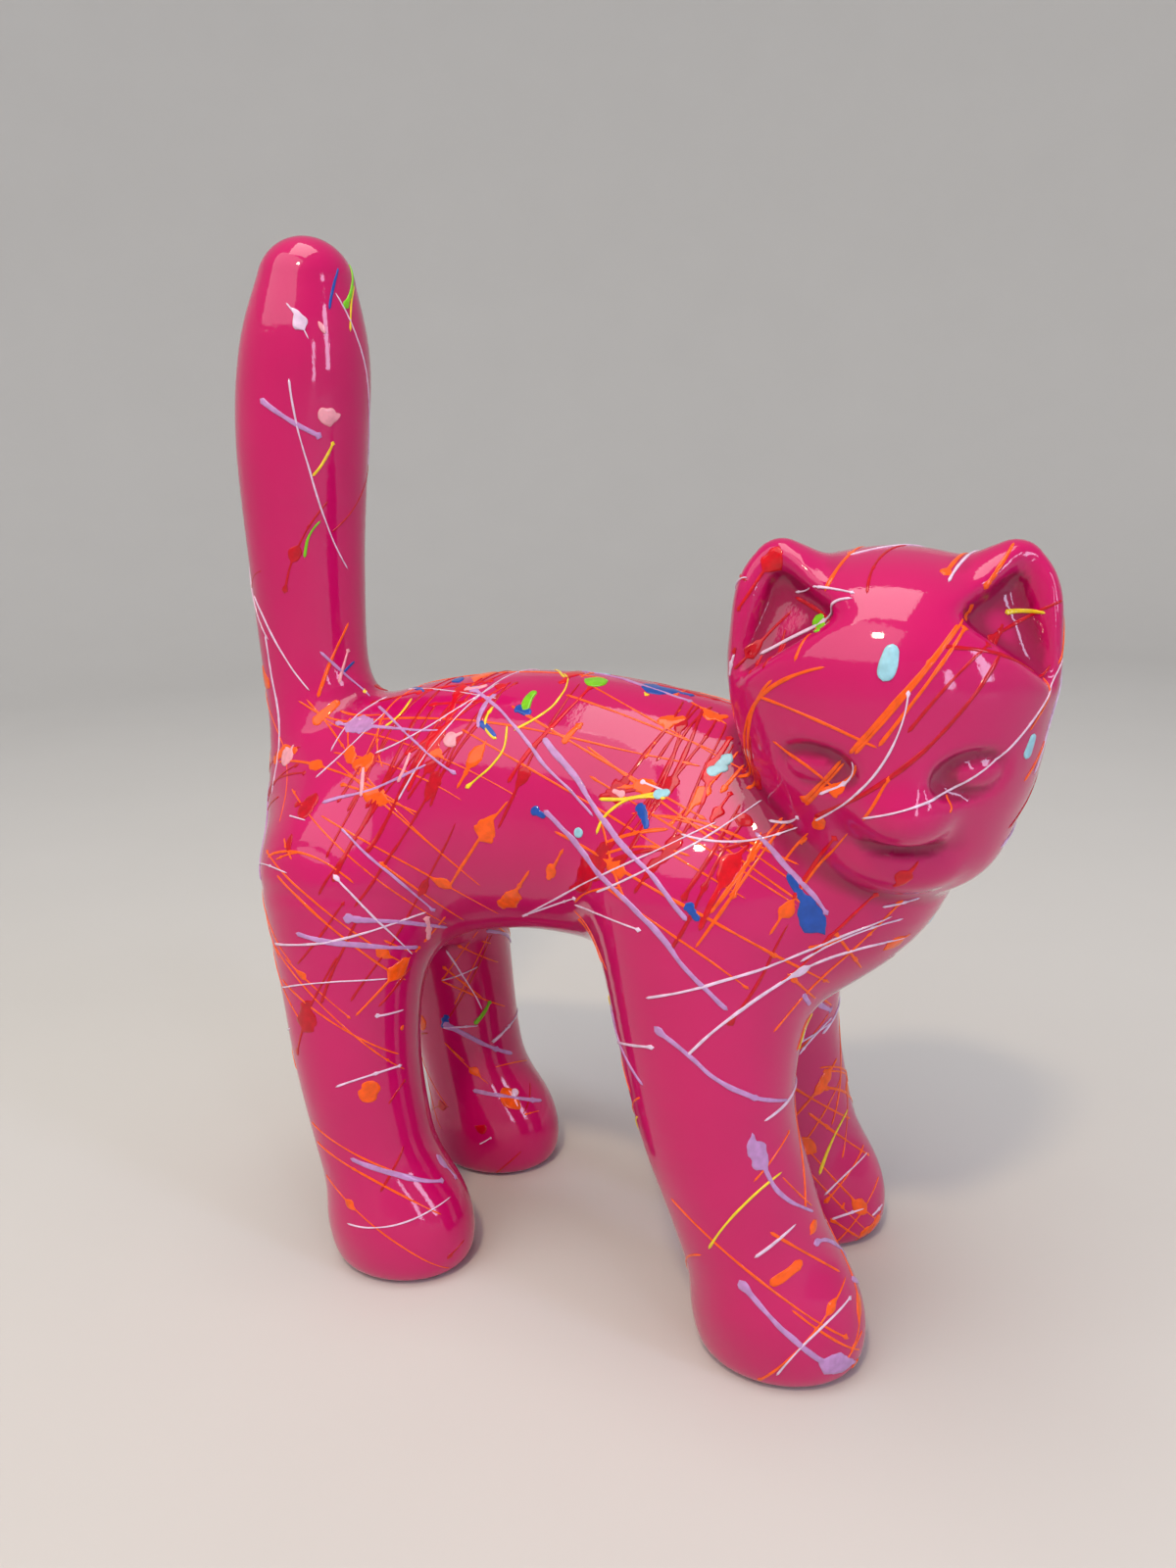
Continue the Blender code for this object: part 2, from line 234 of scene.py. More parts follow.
def smooth_union(a, b, fillet):
    """The nearer of two forms, with a fillet where they meet."""
    near = np.maximum(fillet - np.abs(a - b), 0) / fillet
    return np.minimum(a, b) - near**3 * fillet / 6


def smooth_cut(a, b, fillet):
    """Form a with form b carved out of it, and the carving's edge rounded."""
    return -smooth_union(-a, b, fillet)


def line_through(stations, per_span=8):
    """Points on a smooth line through the stations; each is x, y, z and a radius."""
    s = np.array(stations, float)
    s = np.vstack([2 * s[0] - s[1], s, 2 * s[-1] - s[-2]])
    t = np.linspace(0, 1, per_span, endpoint=False)[:, None]
    spans = []
    for p0, p1, p2, p3 in zip(s, s[1:], s[2:], s[3:]):
        spans.append(0.5 * (2 * p1 + (p2 - p0) * t + (2 * p0 - 5 * p1 + 4 * p2 - p3) * t**2
                            + (3 * p1 - p0 - 3 * p2 + p3) * t**3))
    return np.vstack([*spans, s[-2:-1]])


def limb(points, line, width=1.0, reach=30 * MM):
    """Distance to a round form along a line. A width over 1 makes it wider than it is deep."""
    found = np.full(len(points), 1.0)
    near = ((points > line[:, :3].min(0) - reach) & (points < line[:, :3].max(0) + reach)).all(1)
    stretch = np.array([1, 1 / width, 1])
    p = points[near] * stretch
    best = np.full(len(p), 1.0)
    for a, b in zip(line, line[1:]):
        start, along = a[:3] * stretch, (b[:3] - a[:3]) * stretch
        t = np.clip((p - start) @ along / (along @ along), 0, 1)
        away = np.linalg.norm(p - start - t[:, None] * along, axis=1)
        best = np.minimum(best, away - a[3] - t * (b[3] - a[3]))
    found[near] = best
    return found


def ball(points, centre, radii):
    """Distance to an egg with those three radii."""
    p = (points - centre) / radii
    outer = np.linalg.norm(p, axis=1)
    inner = np.linalg.norm(p / radii, axis=1)
    return outer * (outer - 1) / np.maximum(inner, 1e-9)


def trunk_line():
    length, depth, r = TRUNK_LENGTH, TRUNK_DEPTH, TRUNK_DEPTH / 2
    return line_through([
        (HIP_X - 0.027 * length, 0, TRUNK_Z - 0.133 * depth, r),
        (HIP_X + 0.216 * length, 0, TRUNK_Z - 0.038 * depth, r),
        (HIP_X + 0.5 * length, 0, TRUNK_Z, r),
        (SHOULDER_X - 0.162 * length, 0, TRUNK_Z - 0.057 * depth, 0.98 * r),
        (SHOULDER_X, 0, TRUNK_Z - 0.133 * depth, 0.92 * r),
    ])


def neck_line():
    neck = NECK_THICKNESS
    x, y, z = HEAD_CENTRE
    return line_through([
        (SHOULDER_X + 0.048 * neck, 0, TRUNK_Z - 0.286 * neck, 0.525 * neck),
        (SHOULDER_X + 0.286 * neck, 0.09 * y, TRUNK_Z - 0.214 * neck, 0.52 * neck),
        (SHOULDER_X + 0.5 * neck, 0.36 * y, TRUNK_Z - 0.048 * neck, 0.465 * neck),
        (x - 0.048 * neck, y + 0.095 * neck, z - 0.143 * neck, 0.425 * neck),
    ])


def tail_line():
    root, tip = TAIL_ROOT_THICKNESS / 2, TAIL_THICKNESS / 2
    x, low = HIP_X - 1.38 * tip, TRUNK_Z - 0.076 * TRUNK_DEPTH
    rise = TAIL_TOP_HEIGHT - tip - low
    return line_through([
        (x + 0.22 * tip, 0, low, 1.15 * root),
        (x - 0.04 * tip, 0, low + 0.25 * rise, 0.97 * root),
        (x - 0.04 * tip, 0, low + 0.5 * rise, 1.03 * root),
        (x + 0.2 * TAIL_LEAN, 0, low + 0.74 * rise, 0.96 * tip),
        (x + 0.7 * TAIL_LEAN, 0, low + 0.9 * rise, 0.94 * tip),
        (x + 1.1 * TAIL_LEAN, 0, low + rise + 0.25 * tip, 0.7 * tip),
    ])


def hind_leg_line(side):
    thick, tall, y = HIND_LEG_THICKNESS, BELLY_HEIGHT, side * STANCE_WIDTH / 2
    return line_through([
        (HIP_X - 0.16 * thick, 0.7 * y, 1.163 * tall, 0.75 * thick),
        (HIP_X - 0.14 * thick, 0.9 * y, 0.879 * tall, 0.59 * thick),
        (HIP_X - 0.10 * thick, y, 0.652 * tall, 0.52 * thick),
        (HIP_X - 0.02 * thick, y, 0.411 * tall, 0.49 * thick),
        (HIP_X + 0.10 * thick, y, 0.213 * tall, 0.485 * thick),
    ])


def fore_leg_line(side):
    thick, tall, y = FORE_LEG_THICKNESS, BELLY_HEIGHT, side * STANCE_WIDTH / 2
    lead = RIGHT_FOREPAW_LEAD if side < 0 else 0
    return line_through([
        (SHOULDER_X - 0.107 * thick, 0.65 * y, 1.22 * tall, 0.725 * thick),
        (SHOULDER_X - 0.036 * thick, 0.85 * y, 0.922 * tall, 0.61 * thick),
        (SHOULDER_X + 0.3 * lead, y, 0.667 * tall, 0.515 * thick),
        (SHOULDER_X + 0.107 * thick + 0.7 * lead, y, 0.44 * tall, 0.485 * thick),
        (SHOULDER_X + 0.232 * thick + lead, y, 0.227 * tall, 0.475 * thick),
    ])


def paw_centres():
    """Each paw's middle: hind right, hind left, fore right, fore left."""
    half, z = STANCE_WIDTH / 2, 0.3 * PAW_HEIGHT
    hind, fore = HIP_X + 0.156 * PAW_LENGTH, SHOULDER_X + 0.281 * PAW_LENGTH
    fore_right = fore + RIGHT_FOREPAW_LEAD
    return np.array([(hind, -half, z), (hind, half, z), (fore_right, -half, z), (fore, half, z)])


def head_axes():
    """The head's own left, forward and up directions, as rows."""
    turn = (Matrix.Rotation(HEAD_TURN, 3, "Z") @ Matrix.Rotation(HEAD_NOD, 3, "Y")
            @ Matrix.Rotation(HEAD_ROLL, 3, "X"))
    forward, left, up = np.array(turn).T
    return np.array([left, forward, up])


def facing(points, centre, turn, tilt):
    """The points seen from a centre on the head that looks outward by turn and upward by tilt."""
    view = Matrix.Rotation(-turn, 3, "Z") @ Matrix.Rotation(tilt, 3, "X")
    return (points - np.array(centre)) @ np.array(view)


def face_form(points, looks):
    """Distance to the skull with its muzzle, chin and mouth. The jaw leans a little to the head's left."""
    w, d, h = HEAD_WIDTH / 2, HEAD_DEPTH / 2, HEAD_HEIGHT / 2
    drop = np.maximum(0.15 * h - points[:, 2], 0)
    leaning = points - np.outer(JAW_LEAN * drop**2 / (drop + 0.2 * h), (1, 0, 0))
    tall = np.where(points[:, 2:] > 0.28 * h, 0.72 * h, 1.30 * h)
    skull = ball(leaning, (0, 0, 0.28 * h), np.hstack([np.full_like(tall, w), np.full_like(tall, d), tall]))
    crown = ball(points, (0, -0.1 * d, 0.45 * h), np.array([0.95 * w, 0.7 * d, 0.55 * h]))
    jaw = ball(leaning, (0, 0.06 * d, -0.60 * h), np.array([JAW_WIDTH / 2, 0.62 * d, 0.42 * h]))
    form = smooth_union(smooth_union(skull, crown, 0.12 * w), jaw, 0.24 * w)
    bridge = limb((leaning - (MUZZLE_SIDE, 0, 0)) * (0.7, 1, 1), line_through([
        (0, 0.80 * d, 0.14 * h, 0.132 * w),
        (0, 0.83 * d, -0.08 * h, 0.163 * w),
        (0, 0.80 * d, -0.26 * h, 0.21 * w),
    ]))
    muzzle = ball(
        leaning, (MUZZLE_SIDE, 0.70 * d, -0.32 * h), np.array([MUZZLE_WIDTH / 2, 0.4 * d, 0.23 * h]))
    form = smooth_union(form, smooth_union(bridge, muzzle, 0.12 * w), MUZZLE_FILLET)
    chin = ball(leaning, (0, 0.52 * d, -0.66 * h), np.array([0.40 * w, 0.28 * d, 0.22 * h]))
    form = smooth_union(form, chin, CHIN_FILLET)
    taper = np.maximum(1 - ((leaning[:, 0] - MUZZLE_SIDE) / (looks.mouth_width / 2)) ** 2, 0)
    crease = (points[:, 2] + 0.53 * h + 0.6 * MM * taper) / MOUTH_SOFTNESS
    groove = looks.mouth_depth * taper * np.exp(-(crease**2))
    return form + np.where(points[:, 1] > 0.4 * d, groove, 0)


def triangle(across, up, corners, fillet):
    """Distance in a plane to a triangle with rounded corners, given counter-clockwise."""
    away = None
    for (x0, z0), (x1, z1) in zip(corners, corners[1:] + corners[:1]):
        run, rise = x1 - x0, z1 - z0
        edge = ((across - x0) * rise - (up - z0) * run) / math.hypot(run, rise)
        away = edge if away is None else -smooth_union(-away, -edge, fillet)
    return away


def head_form(points, looks):
    """Distance to the head, from points in the head's own left, forward and up directions."""
    w, d, h = HEAD_WIDTH / 2, HEAD_DEPTH / 2, HEAD_HEIGHT / 2
    form = face_form(points, looks)
    for side in (-1, 1):
        form = smooth_union(form, limb(points, line_through([
            (side * 0.54 * w, 0.10 * d, 0.42 * h, 0.45 * w),
            (side * 0.64 * w, 0.10 * d, 0.71 * h, 0.342 * w),
            (side * 0.69 * w, 0.10 * d, 0.90 * h, 0.19 * w),
        ])), EAR_FILLET)
    for side in (-1, 1):
        dish = facing(points, (side * 0.64 * w, 0.47 * d, 0.59 * h), side * EAR_TURN, EAR_TILT)
        inner = triangle(side * dish[:, 0], dish[:, 2], EAR_CORNERS, EAR_CORNER_FILLET)
        wall = np.maximum(inner + EAR_DEPTH, 0)
        hollow = np.hypot(wall, np.minimum(dish[:, 1], 0)) - EAR_DEPTH
        hollow -= EAR_FLARE * np.maximum(dish[:, 1], 0)
        form = smooth_cut(form, hollow, EAR_RIM_ROUNDING)
        eye_centre = (EYE_SIDE + side * EYE_SPACING / 2, 0.815 * d, -0.10 * h)
        look = facing(points, eye_centre, side * EYE_TURN, -EYE_TILT) / EYE_WIDTH
        socket = EYE_WIDTH * ball(look, (0, 0.21, 0.03), np.array([0.90, 0.42, 0.50]))
        form = smooth_cut(form, socket, 0.11 * EYE_WIDTH)
        eye = EYE_WIDTH * ball(look, (0, -0.36, -0.05), np.array([0.60, 0.38, 0.36]))
        form = smooth_union(form, eye, 0.07 * EYE_WIDTH)
    return form


def figure(points, looks):
    """Distance to the whole cat, all forms blended and cut off level at the floor."""
    form = limb(points, trunk_line(), TRUNK_WIDTH / TRUNK_DEPTH)
    for side in (-1, 1):
        form = smooth_union(form, limb(points, hind_leg_line(side)), LEG_FILLET)
        form = smooth_union(form, limb(points, fore_leg_line(side)), LEG_FILLET)
    form = smooth_union(form, limb(points, neck_line()), NECK_FILLET)
    form = smooth_union(form, limb(points, tail_line()), TAIL_FILLET)
    for centre in paw_centres():
        form = smooth_union(form, ball(points, centre, PAW_RADII), PAW_FILLET)
    near_head = np.linalg.norm(points - HEAD_CENTRE, axis=1) < HEAD_ROOM
    head = np.full(len(points), 1.0)
    head[near_head] = head_form((points[near_head] - HEAD_CENTRE) @ head_axes().T, looks)
    form = smooth_union(form, head, HEAD_FILLET)
    return smooth_cut(form, points[:, 2], SOLE_ROUNDING)


def slope_of(form, points, away, step=0.01 * MM):
    """The direction in which the form's distance grows at each point."""
    return np.stack([form(points + step * axis) - away for axis in np.eye(3)], 1) / step


def line_up(points, looks):
    """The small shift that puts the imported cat's points on the forms, whose own origin lies a little off."""
    shift = np.zeros(3)
    for _ in range(3):
        moved = points + shift
        away = figure(moved, looks)
        slope = slope_of(lambda p: figure(p, looks), moved, away)
        level = slope[:, :2]
        shift[:2] -= np.linalg.lstsq(level, away, rcond=None)[0]
    return shift


def points_of(mesh):
    points = np.empty(len(mesh.vertices) * 3)
    mesh.vertices.foreach_get("co", points)
    return points.reshape(-1, 3)


def set_points(mesh, points):
    mesh.vertices.foreach_set("co", points.ravel())
    mesh.update()


def neighbour_means(mesh, values):
    """Each point's mean of the values at the points it is joined to."""
    edges = np.empty(len(mesh.edges) * 2, int)
    mesh.edges.foreach_get("vertices", edges)
    edges = edges.reshape(-1, 2)
    count = np.bincount(edges.ravel(), minlength=len(values))[:, None]
    total = np.zeros_like(values)
    np.add.at(total, edges[:, 0], values[edges[:, 1]])
    np.add.at(total, edges[:, 1], values[edges[:, 0]])
    return total / count


def draw_onto(mesh, form, rounds=5, longest=3 * MM):
    """Evens out the mesh's points and moves them onto the form; the last two rounds only move them."""
    points = points_of(mesh)
    for turn in range(rounds):
        if turn < rounds - 2:
            points = 0.5 * points + 0.5 * neighbour_means(mesh, points)
        away = form(points)
        slope = slope_of(form, points, away)
        move = -(away / np.maximum((slope**2).sum(1), 0.2))[:, None] * slope
        length = np.linalg.norm(move, axis=1)[:, None]
        points = points + move * np.minimum(1, longest / np.maximum(length, 1e-9))
    points[points[:, 2] < SOLE_SNAP, 2] = 0
    set_points(mesh, points)


def mark_painted_shade(mesh):
    """Stores how hollow the skin is at each point, from 0 to 1, as the share of painted shade that darkens the
    lacquer there.
    """
    points = points_of(mesh)
    normals = np.array([v.normal for v in mesh.vertices])
    smooth = points.copy()
    for _ in range(4):
        smooth = neighbour_means(mesh, smooth)
    hollow = ((smooth - points) * normals).sum(1)[:, None]
    for _ in range(3):
        hollow = neighbour_means(mesh, hollow)
    # Painted shade: the stored hollow share darkens the lacquer where the skin is concave
    share = np.clip(hollow[:, 0] / (0.12 * MM), 0, 1)
    mesh.attributes.new("hollow", "FLOAT", "POINT").data.foreach_set("value", share.astype(np.float32))


# A Mix node's sockets for colours, which share their names with those for numbers
MIX_SHARE, MIX_FIRST, MIX_SECOND, MIX_RESULT = 0, 6, 7, 2


def add_node(tree, kind, links=(), **settings):
    """Adds a node, sets its properties and inputs by name, and links its inputs."""
    node = tree.nodes.new(kind)
    for name, value in settings.items():
        if name in node.bl_rna.properties:
            setattr(node, name, value)
        else:
            node.inputs[name.replace("_", " ")].default_value = value
    for name, source in links:
        tree.links.new(source, node.inputs[name])
    return node


def new_material(name):
    material = bpy.data.materials.new(name)
    material.use_nodes = True
    return material, material.node_tree, material.node_tree.nodes["Principled BSDF"]


def set_inputs(shader, values):
    for name, value in values.items():
        shader.inputs[name].default_value = value


def sprayed_lacquer(settings):
    """Pink lacquer sprayed over cast resin: deep gloss, a trace of orange peel, a random mottle, and painted
    shade that darkens it in hollows.
    """
    material, tree, shader = new_material("sprayed_pink_lacquer")
    place = add_node(tree, "ShaderNodeTexCoord").outputs["Object"]
    cloud = add_node(tree, "ShaderNodeTexNoise", [("Vector", place)], Scale=0.045 / MM, Detail=2)
    tint = add_node(tree, "ShaderNodeMapRange", [("Value", cloud.outputs["Fac"])],
                    From_Min=0.3, From_Max=0.7, To_Min=0.0, To_Max=0.18)
    # Painted shade: the hollow attribute darkens the lacquer in creases; the larger of it and the random
    # mottle sets the mix
    hollow = add_node(tree, "ShaderNodeAttribute", attribute_name="hollow")
    deep = add_node(tree, "ShaderNodeMath", [(0, hollow.outputs["Fac"]), (1, tint.outputs["Result"])],
                    operation="MAXIMUM")
    colour = add_node(tree, "ShaderNodeMix", [(MIX_SHARE, deep.outputs["Value"])], data_type="RGBA")
    colour.inputs[MIX_FIRST].default_value = (*settings.colour, 1)
    colour.inputs[MIX_SECOND].default_value = (*settings.shade_and_mottle_colour, 1)
    tree.links.new(colour.outputs[MIX_RESULT], shader.inputs["Base Color"])
    sag = add_node(tree, "ShaderNodeTexNoise", [("Vector", place)], Scale=0.08 / MM, Detail=1)
    wavy = add_node(tree, "ShaderNodeBump", [("Height", sag.outputs["Fac"])], Strength=1, Distance=0.05 * MM)
    peel = add_node(tree, "ShaderNodeTexNoise", [("Vector", place)], Scale=1.4 / MM, Detail=2)
    skin = add_node(tree, "ShaderNodeBump",
                    [("Height", peel.outputs["Fac"]), ("Normal", wavy.outputs["Normal"])],
                    Strength=1, Distance=0.014 * MM)
    tree.links.new(skin.outputs["Normal"], shader.inputs["Coat Normal"])
    set_inputs(shader, {"Roughness": 0.45, "IOR": 1.5, "Specular IOR Level": 0.08,
                        "Coat Weight": 1, "Coat Roughness": 0.03, "Coat IOR": 1.5})
    return material


def flicked_enamel(name, code):
    """Enamel paint flicked from a stick, under the same clear coat as the skin: full colour, wet gloss."""
    material, tree, shader = new_material(f"flicked_{name}_enamel")
    place = add_node(tree, "ShaderNodeTexCoord").outputs["Object"]
    streak = add_node(tree, "ShaderNodeTexNoise", [("Vector", place)], Scale=0.7 / MM, Detail=2)
    shade = add_node(tree, "ShaderNodeMapRange", [("Value", streak.outputs["Fac"])],
                     From_Min=0.3, From_Max=0.7, To_Min=0.82, To_Max=1.08)
    colour = add_node(tree, "ShaderNodeHueSaturation", [("Value", shade.outputs["Result"])])
    colour.inputs["Color"].default_value = (*linear(code), 1)
    tree.links.new(colour.outputs["Color"], shader.inputs["Base Color"])
    set_inputs(shader, {"Roughness": 0.45, "IOR": 1.5, "Specular IOR Level": 0.08,
                        "Coat Weight": 0.7, "Coat Roughness": 0.05, "Coat IOR": 1.5})
    return material


def pick_alone(obj):
    """Makes the object the only one selected, and the active one."""
    bpy.ops.object.select_all(action="DESELECT")
    obj.select_set(True)
    bpy.context.view_layer.objects.active = obj


def new_object(name, mesh):
    obj = bpy.data.objects.new(name, mesh)
    bpy.context.scene.collection.objects.link(obj)
    pick_alone(obj)
    return obj


class FIGURINE_OT_skin(bpy.types.Operator):
    """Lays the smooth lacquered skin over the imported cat"""

    bl_idname = "figurine.skin"
    bl_label = "Lay the skin"

    def execute(self, context):
        settings = context.scene.figurine_skin
        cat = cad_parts["cat"]
        skin = new_object("figurine_skin", cat.data.copy())
        skin.data.materials.clear()
        bpy.ops.object.mode_set(mode="EDIT")
        bpy.ops.mesh.select_all(action="SELECT")
        bpy.ops.mesh.remove_doubles(threshold=0.01 * MM)
        bpy.ops.object.mode_set(mode="OBJECT")
        shift = line_up(points_of(skin.data), settings)
        even = skin.modifiers.new("even", "REMESH")
        even.mode = "VOXEL"
        even.voxel_size = settings.fineness
        bpy.ops.object.modifier_apply(modifier=even.name)
        draw_onto(skin.data, lambda points: figure(points + shift, settings))
        mark_painted_shade(skin.data)
        bpy.ops.object.shade_smooth()
        skin.data.materials.append(sprayed_lacquer(settings))
        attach(skin, "root")
        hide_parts("cat")
        return {"FINISHED"}


# Where paint is aimed: a point in the cat, and how far the throws scatter around it, across and up
Aim = namedtuple("Aim", "x y z across up")
TAIL = Aim(-66, 0, 160, 9, 40)
RUMP = Aim(-52, 0, 90, 16, 28)
FLANK = Aim(-12, 0, 98, 34, 20)
BACK = Aim(-8, 0, 118, 36, 12)
SHOULDER = Aim(26, 0, 92, 16, 24)
HEAD = Aim(53, -10, 118, 20, 22)
CROWN = Aim(53, -10, 138, 20, 8)
CHEST = Aim(52, 0, 84, 16, 14)
THIGH = Aim(-48, 0, 66, 17, 18)
HIND_LEG = Aim(-46, 0, 30, 17, 30)
FORE_LEG = Aim(38, 0, 36, 19, 36)

# A family of flicks: its paint, where it is aimed, how many, the heading on the skin in degrees as the
# thrower sees it, its scatter, the bend along a flick in degrees, the sway, the shortest and longest flick
# and the width in millimetres, and the share of flicks that carry a pool
Flicks = namedtuple("Flicks", "paint aim count heading scatter bend sway short long width pools")
FAMILIES = (
    Flicks("dark_red", FLANK, 8, 52, 10, 14, 4, 22, 64, 1.0, 0.5),
    Flicks("dark_red", SHOULDER, 5, 56, 10, 16, 6, 16, 46, 0.85, 0.3),
    Flicks("dark_red", RUMP, 3, 48, 10, 14, 3, 16, 50, 0.6, 0.3),
    Flicks("dark_red", HEAD, 2, 28, 10, 90, 2, 38, 60, 0.8, 0.0),
    Flicks("dark_red", TAIL, 1, 60, 20, 20, 4, 10, 26, 0.5, 0.1),
    Flicks("dark_red", THIGH, 5, 54, 10, 14, 3, 16, 44, 0.7, 0.2),
    Flicks("dark_red", HIND_LEG, 2, 50, 16, 14, 4, 8, 26, 0.55, 0.1),
    Flicks("orange", FLANK, 6, -36, 6, 5, 0, 40, 95, 0.55, 0.1),
    Flicks("orange", FLANK, 5, 50, 9, 8, 2, 6, 30, 0.8, 0.4),
    Flicks("orange", FLANK, 1, 40, 40, 40, 8, 4, 7, 2.6, 0.4),
    Flicks("orange", RUMP, 3, -42, 7, 6, 0, 26, 70, 0.5, 0.1),
    Flicks("orange", RUMP, 2, 20, 40, 40, 10, 5, 8, 2.6, 0.6),
    Flicks("orange", SHOULDER, 4, -34, 7, 6, 1, 26, 60, 0.6, 0.2),
    Flicks("orange", SHOULDER, 4, 46, 12, 10, 3, 8, 34, 0.7, 0.4),
    Flicks("orange", SHOULDER, 1, 30, 40, 40, 8, 5, 8, 2.8, 0.6),
    Flicks("orange", HEAD, 3.5, 54, 5, 6, 1, 34, 80, 0.85, 0.0),
    Flicks("orange", FORE_LEG, 8, 52, 9, 8, 1, 20, 60, 0.65, 0.2),
    Flicks("orange", FORE_LEG, 9, -42, 8, 8, 0, 18, 50, 0.6, 0.2),
    Flicks("orange", FORE_LEG, 2, 50, 30, 20, 4, 4, 7, 2.4, 0.5),
    Flicks("orange", THIGH, 5, -40, 8, 6, 0, 26, 60, 0.5, 0.1),
    Flicks("orange", THIGH, 3, 52, 10, 6, 1, 14, 40, 0.55, 0.3),
    Flicks("orange", HIND_LEG, 7, -40, 10, 8, 1, 14, 50, 0.5, 0.2),
    Flicks("orange", HIND_LEG, 2, 60, 30, 20, 4, 4, 8, 1.9, 0.5),
    Flicks("orange", TAIL, 1, 72, 16, 20, 3, 8, 30, 0.9, 0.5),
    Flicks("orange", CHEST, 2, 30, 30, 30, 8, 5, 14, 1.3, 0.6),
    Flicks("crimson", BACK, 4, 46, 12, 12, 5, 8, 34, 0.9, 0.5),
    Flicks("crimson", FLANK, 2, 62, 10, 30, 8, 12, 22, 1.4, 1.0),
    Flicks("crimson", SHOULDER, 2, 54, 10, 16, 6, 12, 32, 0.8, 0.4),
    Flicks("lilac", FLANK, 3, -52, 8, 10, 8, 24, 46, 1.2, 0.2),
    Flicks("lilac", RUMP, 2, -40, 12, 14, 4, 24, 46, 0.9, 0.1),
    Flicks("lilac", SHOULDER, 0.8, -50, 10, 14, 6, 18, 30, 1.3, 0.3),
    Flicks("lilac", FORE_LEG, 4, -48, 20, 60, 8, 16, 34, 1.1, 0.3),
    Flicks("lilac", THIGH, 2, -16, 8, 14, 4, 24, 36, 1.1, 0.1),
    Flicks("lilac", HIND_LEG, 3, -30, 12, 14, 4, 16, 34, 1.1, 0.1),
    Flicks("lilac", TAIL, 1, -38, 16, 20, 4, 8, 14, 1.6, 0.3),
    Flicks("royal_blue", BACK, 4, -50, 30, 30, 8, 3, 11, 2.0, 0.6),
    Flicks("royal_blue", FLANK, 2, -60, 20, 20, 6, 2, 6, 1.7, 0.3),
    Flicks("royal_blue", SHOULDER, 1, -56, 8, 10, 2, 12, 22, 1.4, 0.2),
    Flicks("royal_blue", TAIL, 1, 66, 16, 20, 6, 4, 12, 0.9, 0.3),
    Flicks("royal_blue", HIND_LEG, 1, 60, 20, 20, 6, 2, 4, 1.4, 0.3),
    Flicks("yellow", BACK, 5, 66, 24, 130, 12, 8, 24, 0.75, 0.1),
    Flicks("yellow", FORE_LEG, 3, 58, 14, 50, 2, 10, 22, 0.8, 0.0),
    Flicks("yellow", TAIL, 1, 56, 16, 50, 4, 8, 16, 0.8, 0.0),
    Flicks("yellow", CROWN, 0.8, 0, 40, 90, 4, 5, 10, 1.1, 0.1),
    Flicks("lime", BACK, 2, 60, 30, 50, 10, 4, 7, 2.4, 0.4),
    Flicks("lime", TAIL, 1, 58, 12, 40, 8, 8, 13, 0.9, 0.2),
    Flicks("lime", CROWN, 0.6, -26, 10, 60, 4, 7, 9, 2.0, 0.0),
    Flicks("lime", HIND_LEG, 1, 60, 12, 40, 8, 4, 9, 1.0, 0.2),
    Flicks("pale_pink", BACK, 2, 40, 40, 40, 6, 3, 8, 1.3, 0.4),
    Flicks("pale_pink", RUMP, 1, 70, 20, 30, 6, 3, 7, 1.0, 0.4),
    Flicks("pale_pink", TAIL, 1, 52, 40, 30, 10, 4, 12, 1.0, 0.4),
    Flicks("white", FLANK, 3, 34, 12, 20, 2, 34, 80, 0.48, 0.05),
    Flicks("white", RUMP, 1.2, -66, 14, 34, 3, 24, 60, 0.55, 0.05),
    Flicks("white", SHOULDER, 2, 26, 10, 22, 3, 18, 44, 0.5, 0.0),
    Flicks("white", HEAD, 2.7, 42, 14, 110, 1, 40, 70, 0.55, 0.0),
    Flicks("white", FORE_LEG, 6, 20, 14, 70, 2, 18, 44, 0.6, 0.1),
    Flicks("white", THIGH, 2, 20, 16, 40, 2, 24, 50, 0.5, 0.05),
    Flicks("white", HIND_LEG, 3, 10, 16, 40, 2, 16, 40, 0.5, 0.05),
    Flicks("white", TAIL, 2, -68, 12, 30, 3, 24, 60, 0.5, 0.05),
    Flicks("white", CHEST, 0.5, 30, 20, 60, 2, 10, 24, 0.5, 0.0),
    Flicks("light_blue", FLANK, 2, 24, 20, 10, 2, 3, 5, 3.4, 0.0),
    Flicks("light_blue", SHOULDER, 1, 30, 20, 10, 2, 3.6, 4.6, 4.2, 0.0),
    Flicks("light_blue", HEAD, 1.2, 80, 20, 10, 2, 4, 8, 2.4, 0.0),
)

# The five sides that paint is thrown from: degrees around the cat, degrees above the horizon, and a share
THROWERS = ((22, 14, 1.0), (115, 20, 0.8), (205, 16, 0.9), (290, 20, 0.8), (30, 64, 0.6))


def gentle(rng, t, waves=(1.3, 2.9, 6.1)):
    """A smooth wander around 0, mostly within 1 either way."""
    return sum(np.sin(2 * math.pi * (w * t + rng.random())) / (1 + i) for i, w in enumerate(waves)) / 1.4


def landed(tree, flat, aim, across, up, back):
    """Where a flat line thrown at the cat lands, as separate runs where part of it flies past."""
    runs, run = [], []
    for u, v in flat:
        place, normal, _, _ = tree.ray_cast(aim + across * u + up * v + back * THROW, -back)
        hit = place is not None and normal.dot(back) > GRAZING and (place - aim).length < FALL
        if run and (not hit or (place - run[-1]).length > 5 * PAINT_STEP):
            runs.append(run)
            run = []
        if hit:
            run.append(place)
    return [np.array(r) for r in [*runs, run] if len(r) > 2]


def stations_along(path):
    """The path at even steps, smoothed a little."""
    length = np.concatenate([[0], np.cumsum(np.linalg.norm(np.diff(path, axis=0), axis=1))])
    count = max(19, round(length[-1] / PAINT_STEP) + 1)
    even = np.linspace(0, length[-1], count)
    return np.stack([np.interp(even, length, path[:, i]) for i in range(3)], 1), length[-1]


